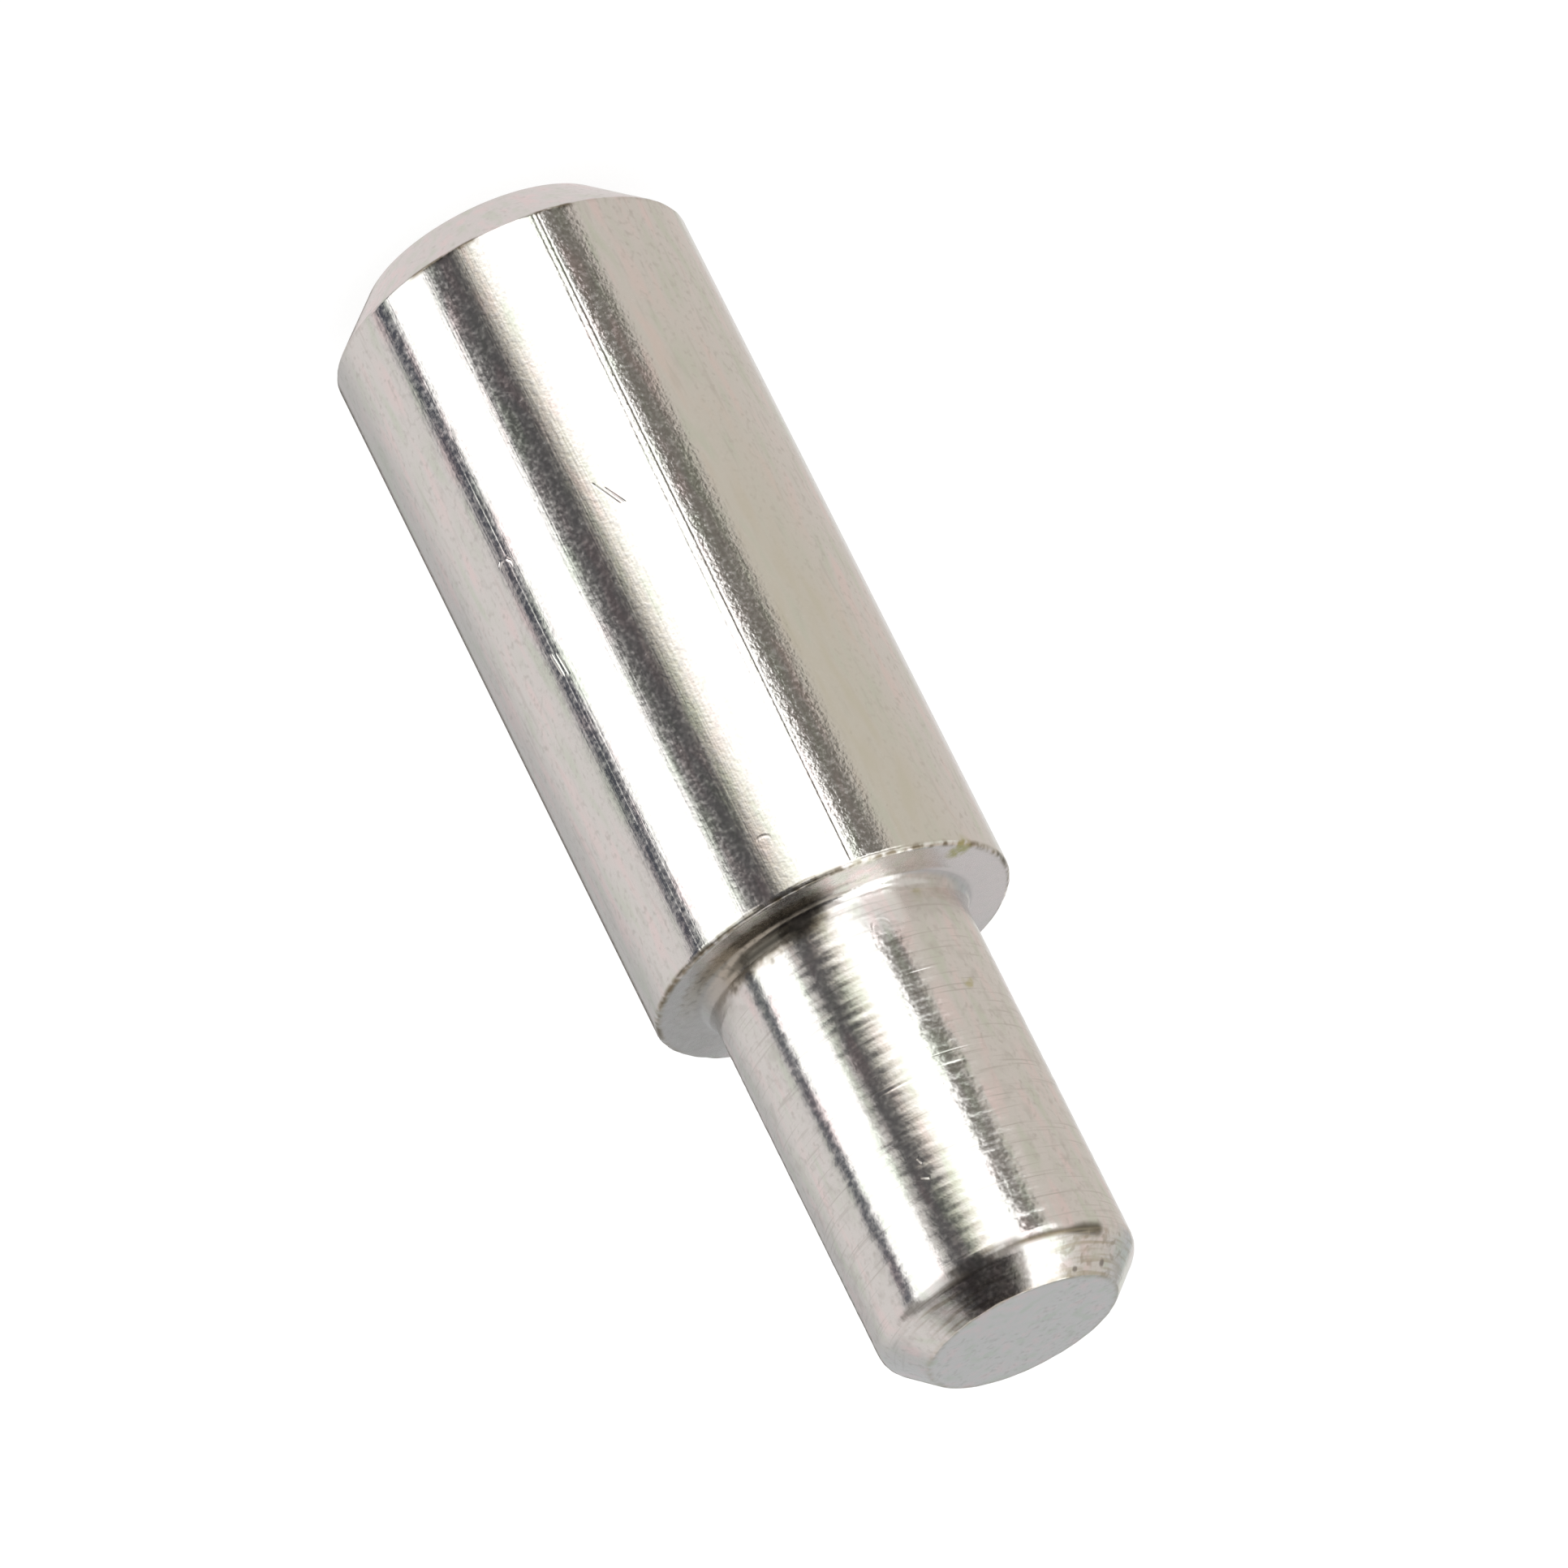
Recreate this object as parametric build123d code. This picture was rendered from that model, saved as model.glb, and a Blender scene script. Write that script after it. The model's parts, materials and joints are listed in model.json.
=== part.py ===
from build123d import *
import os

# Shelf support pin, turned from one steel bar and then plated.
# It stands on the flat of its head. The origin is the centre of that flat, and +Z runs along the axis to the
# spigot, the thin end that goes into a row-drilled hole in the side panel. All sizes are in millimetres.

# Body: the thick end, which the shelf lies on
body_diameter = 7.0
body_length = 15.2

# Head: the free end of the body
head_chamfer = 1.05
head_edge_radius = 0.06

# Shoulder: the flat ring that stops against the panel
rim_radius = 0.12
root_radius = 0.28

# Spigot: the thin end, a push fit in a 5 mm hole
spigot_diameter = 5.0
spigot_length = 8.1

# Tip: the lead-in of the spigot, rolled over where it leaves the straight wall
tip_chamfer = 0.65
tip_roll_radius = 0.4
tip_edge_radius = 0.06

# Heights and radii that follow from the sizes above
body_radius = body_diameter / 2
spigot_radius = spigot_diameter / 2
shoulder_height = body_length
overall_length = body_length + spigot_length


def corner(section: Sketch, radius: float, height: float) -> Vertex:
    """The vertex of the half section that lies at this radius and height."""
    place = Vector(radius, 0, height)
    return min(section.vertices(), key=lambda vertex: (Vector(*vertex) - place).length)


def half_section() -> Sketch:
    """The outline that the tool cuts, from the axis outwards, with its corners eased."""
    head_flat_radius = body_radius - head_chamfer
    tip_flat_radius = spigot_radius - tip_chamfer
    tip_start = overall_length - tip_chamfer
    outline = Polyline(
        (0, 0, 0),
        (head_flat_radius, 0, 0),
        (body_radius, 0, head_chamfer),
        (body_radius, 0, shoulder_height),
        (spigot_radius, 0, shoulder_height),
        (spigot_radius, 0, tip_start),
        (tip_flat_radius, 0, overall_length),
        (0, 0, overall_length),
        close=True,
    )
    section = make_face(outline)
    eased_corners = (
        (head_flat_radius, 0, head_edge_radius),
        (body_radius, head_chamfer, head_edge_radius),
        (body_radius, shoulder_height, rim_radius),
        (spigot_radius, shoulder_height, root_radius),
        (spigot_radius, tip_start, tip_roll_radius),
        (tip_flat_radius, overall_length, tip_edge_radius),
    )
    for radius, height, easing in eased_corners:
        section = fillet(corner(section, radius, height), easing)
    return section


def shelf_pin() -> Part:
    """The whole pin: the half section turned once about its axis."""
    return revolve(half_section(), axis=Axis.Z, revolution_arc=360)


os.makedirs("parts", exist_ok=True)
export_step(shelf_pin(), "parts/shelf_pin.step")
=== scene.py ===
"""Shelf support pin: a turned and nickel-plated steel pin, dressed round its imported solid.

The pin stands on the flat of its head at the origin, with +Z along its axis towards the spigot. Its body is
drawn bar with a fine orange-peel skin. Its shoulder, spigot and tip are turned, and carry the tool's rings.
Lengths are in metres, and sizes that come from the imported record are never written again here.
"""

import json
import logging
import math
from collections.abc import Mapping, Sequence
from dataclasses import dataclass
from enum import Enum

import bpy
from mathutils import Matrix, Vector

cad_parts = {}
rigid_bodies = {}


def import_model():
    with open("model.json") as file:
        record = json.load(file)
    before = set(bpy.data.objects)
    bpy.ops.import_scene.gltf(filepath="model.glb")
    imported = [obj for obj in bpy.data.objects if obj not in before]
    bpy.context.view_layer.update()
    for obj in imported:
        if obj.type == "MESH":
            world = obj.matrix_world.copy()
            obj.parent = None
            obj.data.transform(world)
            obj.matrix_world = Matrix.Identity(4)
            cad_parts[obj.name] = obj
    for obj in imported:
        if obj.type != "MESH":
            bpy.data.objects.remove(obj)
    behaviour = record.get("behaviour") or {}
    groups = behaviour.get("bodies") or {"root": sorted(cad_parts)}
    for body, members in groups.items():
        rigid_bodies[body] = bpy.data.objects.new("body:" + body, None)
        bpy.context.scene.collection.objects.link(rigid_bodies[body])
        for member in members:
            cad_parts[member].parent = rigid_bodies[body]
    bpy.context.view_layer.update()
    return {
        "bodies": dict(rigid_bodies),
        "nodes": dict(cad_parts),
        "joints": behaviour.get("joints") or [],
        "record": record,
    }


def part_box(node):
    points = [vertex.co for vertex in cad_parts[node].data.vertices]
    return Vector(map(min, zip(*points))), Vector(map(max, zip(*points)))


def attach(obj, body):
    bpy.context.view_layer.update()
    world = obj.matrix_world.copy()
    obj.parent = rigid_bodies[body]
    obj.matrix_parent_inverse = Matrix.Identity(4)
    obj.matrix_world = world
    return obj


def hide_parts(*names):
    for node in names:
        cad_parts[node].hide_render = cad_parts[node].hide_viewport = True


LOG = logging.getLogger("shelf_pin")
MM = 0.001
MICRON = 0.001 * MM
PHOTO_SIDE = 1932
COLOUR_MIX_A = 6
COLOUR_MIX_B = 7
COLOUR_MIX_RESULT = 2

Colour = tuple[float, float, float]


class Value:
    """A number on a node socket, so that maths on fields reads as a Python expression."""

    def __init__(self, graph: "NodeGraph", socket: bpy.types.NodeSocket) -> None:
        """Keep the graph that the value belongs to and the socket that carries it."""
        self.graph = graph
        self.socket = socket

    def __add__(self, other: "Value | float") -> "Value":
        """Return self + other."""
        return self.graph.maths("ADD", self, other)

    def __radd__(self, other: float) -> "Value":
        """Return other + self."""
        return self.graph.maths("ADD", other, self)

    def __sub__(self, other: "Value | float") -> "Value":
        """Return self - other."""
        return self.graph.maths("SUBTRACT", self, other)

    def __rsub__(self, other: float) -> "Value":
        """Return other - self."""
        return self.graph.maths("SUBTRACT", other, self)

    def __mul__(self, other: "Value | float") -> "Value":
        """Return self * other."""
        return self.graph.maths("MULTIPLY", self, other)

    def __rmul__(self, other: float) -> "Value":
        """Return other * self."""
        return self.graph.maths("MULTIPLY", other, self)

    def __truediv__(self, other: "Value | float") -> "Value":
        """Return self / other."""
        return self.graph.maths("DIVIDE", self, other)

    def __pow__(self, power: float) -> "Value":
        """Return self raised to a power."""
        return self.graph.maths("POWER", self, power)

    def __neg__(self) -> "Value":
        """Return minus self."""
        return self.graph.maths("MULTIPLY", self, -1.0)

    def __abs__(self) -> "Value":
        """Return the size of self without its sign."""
        return self.graph.maths("ABSOLUTE", self)


Linkable = Value | bpy.types.NodeSocket | float | Sequence[float]


class NodeGraph:
    """A node tree that is written as expressions, for a material, a world or a geometry modifier."""

    def __init__(self, tree: bpy.types.NodeTree) -> None:
        """Take over an empty node tree."""
        self.tree = tree

    def node(
        self,
        kind: str,
        settings: Mapping[str, object] | None = None,
        inputs: Mapping[int | str, Linkable] | None = None,
    ) -> bpy.types.Node:
        """Add one node.

        Args:
            kind: The node's type name.
            settings: Its own settings, which are set before its sockets.
            inputs: Values or links for its input sockets, by name or number.

        Returns:
            The new node.
        """
        node = self.tree.nodes.new(kind)
        for name, setting in (settings or {}).items():
            setattr(node, name, setting)
        for key, given in (inputs or {}).items():
            self.feed(node.inputs[key], given)
        return node

    def feed(self, socket: bpy.types.NodeSocket, given: Linkable) -> None:
        """Link a value or socket into a socket, or set a plain number or colour on it.

        Args:
            socket: The input socket.
            given: What it gets.
        """
        if isinstance(given, Value):
            self.tree.links.new(given.socket, socket)
        elif isinstance(given, bpy.types.NodeSocket):
            self.tree.links.new(given, socket)
        else:
            socket.default_value = given

    def value(self, socket: bpy.types.NodeSocket) -> Value:
        """Wrap a socket, so that it can be used in expressions."""
        return Value(self, socket)

    def maths(self, operation: str, *terms: "Value | float") -> Value:
        """Add one Math node and return its result."""
        node = self.node("ShaderNodeMath", {"operation": operation}, dict(enumerate(terms)))
        return self.value(node.outputs[0])

    def split(self, vector: bpy.types.NodeSocket) -> tuple[Value, Value, Value]:
        """Return the three parts of a vector."""
        node = self.node("ShaderNodeSeparateXYZ", inputs={0: vector})
        return tuple(self.value(part) for part in node.outputs)

    def join(self, x: "Value | float", y: "Value | float", z: "Value | float") -> bpy.types.NodeSocket:
        """Return a vector made of three numbers."""
        return self.node("ShaderNodeCombineXYZ", inputs={0: x, 1: y, 2: z}).outputs[0]

    def step(self, value: Value, start: "Value | float", end: "Value | float") -> Value:
        """Add a soft threshold, which runs the other way where end lies below start.

        Args:
            value: The number that is tested.
            start: Where the rise begins.
            end: Where it is complete.

        Returns:
            0 before start, 1 after end and a smooth rise between.
        """
        settings = {"interpolation_type": "SMOOTHSTEP"}
        inputs = {"Value": value, "From Min": start, "From Max": end}
        return self.value(self.node("ShaderNodeMapRange", settings, inputs).outputs[0])

    def noise(self, vector: bpy.types.NodeSocket, seed: "Value | float", detail: float = 1.0) -> Value:
        """Add a noise with features about one unit of the vector across.

        Args:
            vector: Where the noise is read.
            seed: Which noise it is.
            detail: How many finer layers it has.

        Returns:
            Noise from -1 to 1.
        """
        inputs = {"Vector": vector, "W": seed, "Scale": 1.0, "Detail": detail}
        node = self.node("ShaderNodeTexNoise", {"noise_dimensions": "4D"}, inputs)
        return self.value(node.outputs[0]) * 2.0 - 1.0

    def blend(self, share: "Value | float", first: Linkable, second: Linkable) -> bpy.types.NodeSocket:
        """Mix two colours; a share of 1 gives the second."""
        inputs = {0: share, COLOUR_MIX_A: opaque(first), COLOUR_MIX_B: opaque(second)}
        return self.node("ShaderNodeMix", {"data_type": "RGBA"}, inputs).outputs[COLOUR_MIX_RESULT]


def opaque(colour: Linkable) -> Linkable:
    """Give a plain colour its alpha of 1, and leave a link as it is."""
    return (*colour, 1.0) if isinstance(colour, tuple) else colour


class Surface(Enum):
    """How a stretch of the pin was made, with the depth of its tool rings as a share of the spigot's."""

    DRAWN = 0.0
    CHAMFERED = 0.3
    FACED = 0.4
    TURNED = 1.0


@dataclass(frozen=True)
class Row:
    """One point of the half section, which the lathe turns into a ring of the mesh.

    Turning is the depth of the tool's rings there as a share of the spigot's, and burr is the height of the
    burrs as a share of the rim's.
    """

    radius: float
    height: float
    turning: float
    burr: float


@dataclass(frozen=True)
class PinSizes:
    """The pin's sizes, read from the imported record, with the small easings of its corners."""

    body_radius: float
    spigot_radius: float
    shoulder_height: float
    overall_length: float
    head_chamfer: float = 1.05 * MM
    tip_chamfer: float = 0.65 * MM
    edge_radius: float = 0.06 * MM
    rim_radius: float = 0.12 * MM
    root_radius: float = 0.28 * MM
    tip_roll_radius: float = 0.4 * MM

    @property
    def spigot_length(self) -> float:
        """Return how far the spigot stands out of the shoulder."""
        return self.overall_length - self.shoulder_height

    @property
    def chamfer_start(self) -> float:
        """Return how far above the shoulder the tip's chamfer starts."""
        return self.spigot_length - self.tip_chamfer

    @property
    def tip_flat_radius(self) -> float:
        """Return the radius of the tip's flat."""
        return self.spigot_radius - self.tip_chamfer

    @classmethod
    def from_frame(cls, frame: Mapping[str, object]) -> "PinSizes":
        """Read the radii and heights from the record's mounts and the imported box.


        Returns:
            The sizes, in metres.
        """
        mounts = {mount["name"]: mount for mount in frame["record"]["mounts"]}
        return cls(
            body_radius=mounts["body"]["dims"]["r_mm"] * MM,
            spigot_radius=mounts["spigot"]["dims"]["r_mm"] * MM,
            shoulder_height=mounts["shoulder"]["pos_m"][2],
            overall_length=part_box("shelf_pin")[1].z,
        )


@dataclass
class HalfSection:
    """The outline that the lathe turns: straight runs and eased corners, in rows that lie closer on the walls
    where the tool left its rings.
    """

    sizes: PinSizes
    holding_step: float = 0.015 * MM
    arc_step: float = math.radians(16.0)

    def rows(self) -> list[Row]:
        """Lay out the corners and the runs between them.

        Returns:
            The rows from the centre of the head's flat, round the outside, to the centre of the tip.
        """
        sizes = self.sizes
        tip_start = sizes.overall_length - sizes.tip_chamfer
        head_flat = sizes.body_radius - sizes.head_chamfer
        # Each corner's place, the radius that eases it, and its burrs as a share of the rim's
        corners = [
            ((0.0, 0.0), 0.0, 0.0),
            ((head_flat, 0.0), sizes.edge_radius, 0.0),
            ((sizes.body_radius, sizes.head_chamfer), sizes.edge_radius, 0.6),
            ((sizes.body_radius, sizes.shoulder_height), sizes.rim_radius, 1.0),
            ((sizes.spigot_radius, sizes.shoulder_height), sizes.root_radius, 0.0),
            ((sizes.spigot_radius, tip_start), sizes.tip_roll_radius, 0.0),
            ((sizes.tip_flat_radius, sizes.overall_length), sizes.edge_radius, 0.4),
            ((0.0, sizes.overall_length), 0.0, 0.0),
        ]
        # The spacing of each run's rows, and how its surface was made
        runs = [
            (0.3 * MM, Surface.FACED),
            (0.12 * MM, Surface.CHAMFERED),
            (0.3 * MM, Surface.DRAWN),
            (0.05 * MM, Surface.FACED),
            (0.03 * MM, Surface.TURNED),
            (0.04 * MM, Surface.CHAMFERED),
            (0.12 * MM, Surface.FACED),
        ]
        points = [Vector(place) for place, _, _ in corners]
        rows: list[Row] = []
        for index, (spacing, surface) in enumerate(runs):
            start = self.leave(points, index, corners[index][1])
            end = self.arrive(points, index + 1, corners[index + 1][1])
            rows += self.straight(start, end, spacing, surface)
            if index + 1 < len(runs):
                _, easing, burr = corners[index + 1]
                rows += self.corner(points, index + 1, easing, burr, surface, runs[index + 1][1])
        return rows

    def leave(self, points: Sequence[Vector], index: int, easing: float) -> Vector:
        """Return where the straight run after a corner begins."""
        way = (points[index + 1] - points[index]).normalized()
        return points[index] + way * self.cut(points, index, easing)

    def arrive(self, points: Sequence[Vector], index: int, easing: float) -> Vector:
        """Return where the straight run before a corner ends."""
        way = (points[index - 1] - points[index]).normalized()
        return points[index] + way * self.cut(points, index, easing)

    def cut(self, points: Sequence[Vector], index: int, easing: float) -> float:
        """Return how much of each neighbouring run a corner's easing takes."""
        if easing == 0.0:
            return 0.0
        return easing * math.tan(abs(self.turn(points, index)) / 2.0)

    def turn(self, points: Sequence[Vector], index: int) -> float:
        """Return the angle that the outline turns through at a corner, positive to the left."""
        before = points[index] - points[index - 1]
        after = points[index + 1] - points[index]
        return math.atan2(before.x * after.y - before.y * after.x, before.dot(after))

    def straight(self, start: Vector, end: Vector, spacing: float, surface: Surface) -> list[Row]:
        """Space the rows of a straight run, with a row close to each end that keeps its shading flat.

        Args:
            start: Where the run begins.
            end: Where it ends.
            spacing: The distance between its rows, at most.
            surface: How it was made.

        Returns:
            The run's rows, both ends included.
        """
        length = (end - start).length
        count = max(2, round(length / spacing))
        shares = [0.0, self.holding_step / length]
        shares += [step / count for step in range(1, count)]
        shares += [1.0 - self.holding_step / length, 1.0]
        places = [start.lerp(end, share) for share in shares]
        return [Row(place.x, place.y, surface.value, 0.0) for place in places]

    def corner(
        self,
        points: Sequence[Vector],
        index: int,
        easing: float,
        burr: float,
        before: Surface,
        after: Surface,
    ) -> list[Row]:
        """Return the rows inside an eased corner.

        Args:
            points: The corners of the outline.
            index: Which corner this is.
            easing: The radius of its arc.
            burr: The height of its burrs as a share of the rim's.
            before: The surface of the run that ends here.
            after: The surface of the run that begins here.

        Returns:
            The rows between the two tangent points, which the straight runs already have.
        """
        turn = self.turn(points, index)
        first = self.arrive(points, index, easing)
        way = (first - points[index - 1]).normalized()
        side = Vector((-way.y, way.x)) * math.copysign(1.0, turn)
        centre = first + side * easing
        count = max(3, math.ceil(abs(turn) / self.arc_step))
        rows = []
        for step in range(1, count):
            share = step / count
            spoke = first - centre
            spoke.rotate(Matrix.Rotation(turn * share, 2))
            place = centre + spoke
            turning = before.value + (after.value - before.value) * share
            rows.append(Row(place.x, place.y, turning, burr))
        return rows


@dataclass
class TurnedPin:
    """The whole pin: one turned piece, built by a lathe tree from its half section."""

    sizes: PinSizes
    columns: int = 224
    feed: float = 0.17 * MM
    mark_depth: float = 9.0 * MICRON
    burr_height: float = 22.0 * MICRON
    burr_spacing: float = 0.28 * MM
    ring_wander: float = 2.8
    ring_detail: float = 1.5
    weld: float = 0.001 * MM
    seed: float = 4.0
    burr_seed_step: float = 7.0

    def build(self, finish: bpy.types.Material) -> bpy.types.Object:
        """Turn the pin on the lathe tree and keep the result as a plain mesh.

        Args:
            finish: The material of the whole pin.

        Returns:
            The finished piece, at the origin.
        """
        section = self.section_object()
        modifier = section.modifiers.new("lathe", "NODES")
        modifier.node_group = self.lathe_tree()
        settings = {
            "Columns": self.columns,
            "Feed": self.feed,
            "Mark Depth": self.mark_depth,
            "Burr Height": self.burr_height,
            "Burr Spacing": self.burr_spacing,
            "Seed": self.seed,
            "Finish": finish,
        }
        for item in modifier.node_group.interface.items_tree:
            if item.in_out == "INPUT" and item.name in settings:
                modifier[item.identifier] = settings[item.name]
        bpy.context.view_layer.update()
        evaluated = section.evaluated_get(bpy.context.evaluated_depsgraph_get())
        mesh = bpy.data.meshes.new_from_object(evaluated)
        mesh.name = "turned_pin"
        section.modifiers.remove(modifier)
        bpy.data.objects.remove(section)
        pin = bpy.data.objects.new("turned_pin", mesh)
        bpy.context.scene.collection.objects.link(pin)
        return pin

    def section_object(self) -> bpy.types.Object:
        """Draw the half section in the XZ plane.

        Returns:
            A chain of points, with what the lathe needs on each.
        """
        rows = HalfSection(self.sizes).rows()
        mesh = bpy.data.meshes.new("half_section")
        points = [(row.radius, 0.0, row.height) for row in rows]
        mesh.from_pydata(points, [(i, i + 1) for i in range(len(points) - 1)], [])
        along = [0.0]
        for before, after in zip(points, points[1:]):
            along.append(along[-1] + math.dist(before, after))
        columns = {
            "along": along,
            "turning": [row.turning for row in rows],
            "burr": [row.burr for row in rows],
        }
        for name, values in columns.items():
            mesh.attributes.new(name, "FLOAT", "POINT").data.foreach_set("value", values)
        section = bpy.data.objects.new("half_section", mesh)
        bpy.context.scene.collection.objects.link(section)
        return section

    def lathe_tree(self) -> bpy.types.NodeTree:
        """Build the tree that turns a half section into a closed mesh with tool rings and burrs.

        Returns:
            The node group, with its sizes as named inputs.
        """
        tree = bpy.data.node_groups.new("pin_lathe", "GeometryNodeTree")
        graph = NodeGraph(tree)
        tree.interface.new_socket("Geometry", in_out="INPUT", socket_type="NodeSocketGeometry")
        tree.interface.new_socket("Columns", in_out="INPUT", socket_type="NodeSocketInt")
        for name in ("Feed", "Mark Depth", "Burr Height", "Burr Spacing", "Seed"):
            tree.interface.new_socket(name, in_out="INPUT", socket_type="NodeSocketFloat")
        tree.interface.new_socket("Finish", in_out="INPUT", socket_type="NodeSocketMaterial")
        tree.interface.new_socket("Geometry", in_out="OUTPUT", socket_type="NodeSocketGeometry")
        given = graph.node("NodeGroupInput").outputs
        shape = self.turned_rows(graph, given)
        shape = self.tool_marks(graph, given, shape)
        shape = graph.node("GeometryNodeSetShadeSmooth", inputs={"Geometry": shape}).outputs[0]
        shape = graph.node("GeometryNodeRealizeInstances", inputs={0: shape}).outputs[0]
        inputs = {"Geometry": shape, "Material": given["Finish"]}
        shape = graph.node("GeometryNodeSetMaterial", inputs=inputs).outputs[0]
        graph.node("NodeGroupOutput", inputs={0: shape})
        return tree

    def turned_rows(self, graph: NodeGraph, given: bpy.types.bpy_prop_collection) -> bpy.types.NodeSocket:
        """Wrap a grid round the axis, one column to each step of the turn and one row to each point.

        Args:
            graph: The tree that is being written.
            given: The tree's own inputs.

        Returns:
            The closed mesh, with each row's figures as attributes.
        """
        section = given["Geometry"]
        columns = graph.value(given["Columns"])
        size = graph.node("GeometryNodeAttributeDomainSize", inputs={0: section})
        rows = graph.value(size.outputs["Point Count"])
        grid_inputs = {"Vertices X": columns + 1.0, "Vertices Y": rows}
        shape = graph.node("GeometryNodeMeshGrid", inputs=grid_inputs).outputs["Mesh"]
        index = graph.value(graph.node("GeometryNodeInputIndex").outputs[0])
        column = graph.maths("FLOOR", (index + 0.5) / rows)
        row = index - column * rows
        for name in ("along", "turning", "burr"):
            sampled = self.sampled(graph, section, row, "FLOAT", self.attribute(graph, name))
            inputs = {"Geometry": shape, "Name": name, "Value": sampled}
            shape = graph.node("GeometryNodeStoreNamedAttribute", inputs=inputs).outputs[0]
        place = graph.node("GeometryNodeInputPosition").outputs[0]
        radius, _, height = graph.split(self.sampled(graph, section, row, "FLOAT_VECTOR", place))
        angle = column / columns * math.tau
        x = radius * graph.maths("COSINE", angle)
        y = radius * graph.maths("SINE", angle)
        inputs = {"Geometry": shape, "Position": graph.join(x, y, height)}
        shape = graph.node("GeometryNodeSetPosition", inputs=inputs).outputs[0]
        inputs = {"Geometry": shape, "Distance": self.weld}
        return graph.node("GeometryNodeMergeByDistance", inputs=inputs).outputs[0]

    def tool_marks(
        self,
        graph: NodeGraph,
        given: bpy.types.bpy_prop_collection,
        shape: bpy.types.NodeSocket,
    ) -> bpy.types.NodeSocket:
        """Cut the tool's rings and raise the burrs on the edges.

        Args:
            graph: The tree that is being written.
            given: The tree's own inputs.
            shape: The plain turned mesh.

        Returns:
            The mesh with its relief.
        """
        x, y, z = graph.split(graph.node("GeometryNodeInputPosition").outputs[0])
        radius = graph.maths("MAXIMUM", (x * x + y * y) ** 0.5, self.weld)
        along = graph.value(self.attribute(graph, "along"))
        turning = graph.value(self.attribute(graph, "turning"))
        burr = graph.value(self.attribute(graph, "burr"))
        seed = graph.value(given["Seed"])
        feed = graph.value(given["Feed"])
        wander = graph.join(x / radius * self.ring_wander, y / radius * self.ring_wander, along / feed)
        rings = graph.noise(wander, seed, self.ring_detail)
        spacing = graph.value(given["Burr Spacing"])
        lump_places = graph.join(x / spacing, y / spacing, z / spacing)
        lumps = graph.noise(lump_places, seed + self.burr_seed_step)
        relief = rings * turning * graph.value(given["Mark Depth"])
        relief = relief + lumps * burr * graph.value(given["Burr Height"])
        inputs = {0: graph.node("GeometryNodeInputNormal").outputs[0], "Scale": relief}
        offset = graph.node("ShaderNodeVectorMath", {"operation": "SCALE"}, inputs).outputs[0]
        shape = graph.node("GeometryNodeSetPosition", inputs={"Geometry": shape, "Offset": offset}).outputs[0]
        for name in ("along", "turning", "burr"):
            inputs = {"Geometry": shape, "Name": name}
            shape = graph.node("GeometryNodeRemoveAttribute", inputs=inputs).outputs[0]
        return shape

    def attribute(self, graph: NodeGraph, name: str) -> bpy.types.NodeSocket:
        """Return a named number that is kept on each point."""
        node = graph.node("GeometryNodeInputNamedAttribute", {"data_type": "FLOAT"}, {"Name": name})
        return node.outputs["Attribute"]

    def sampled(
        self,
        graph: NodeGraph,
        section: bpy.types.NodeSocket,
        row: Value,
        data_type: str,
        source: bpy.types.NodeSocket,
    ) -> bpy.types.NodeSocket:
        """Read a figure from the half section's point with the row's number."""
        inputs = {"Geometry": section, "Value": source, "Index": row}
        return graph.node("GeometryNodeSampleIndex", {"data_type": data_type}, inputs).outputs[0]


class Pattern(Enum):
    """The noises of the finish: a patch's size across the pin, its size along it, and the seed."""

    GRAIN = (0.085 * MM, 0.085 * MM, 2.0)
    DRIFT = (0.3 * MM, 1.4 * MM, 5.0)
    CLOUD = (0.16 * MM, 0.16 * MM, 9.0)
    DRAWN_LINES = (0.05 * MM, 2.5 * MM, 13.0)
    FINE_RINGS = (1.1 * MM, 0.075 * MM, 17.0)
    PEPPER = (0.09 * MM, 0.09 * MM, 21.0)
    STREAKS = (0.12 * MM, 0.9 * MM, 31.0)
    RING_LINES = (1.3 * MM, 0.055 * MM, 33.0)
    CHAMFER_RINGS = (0.9 * MM, 0.06 * MM, 37.0)
    CHATTER = (0.16 * MM, 0.13 * MM, 41.0)
    CRUMBS = (0.5 * MM, 0.5 * MM, 43.0)
    PEBBLES = (0.075 * MM, 0.075 * MM, 47.0)
    MOTTLE = (0.11 * MM, 0.13 * MM, 51.0)
    SMUDGES = (0.24 * MM, 0.34 * MM, 53.0)


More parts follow.
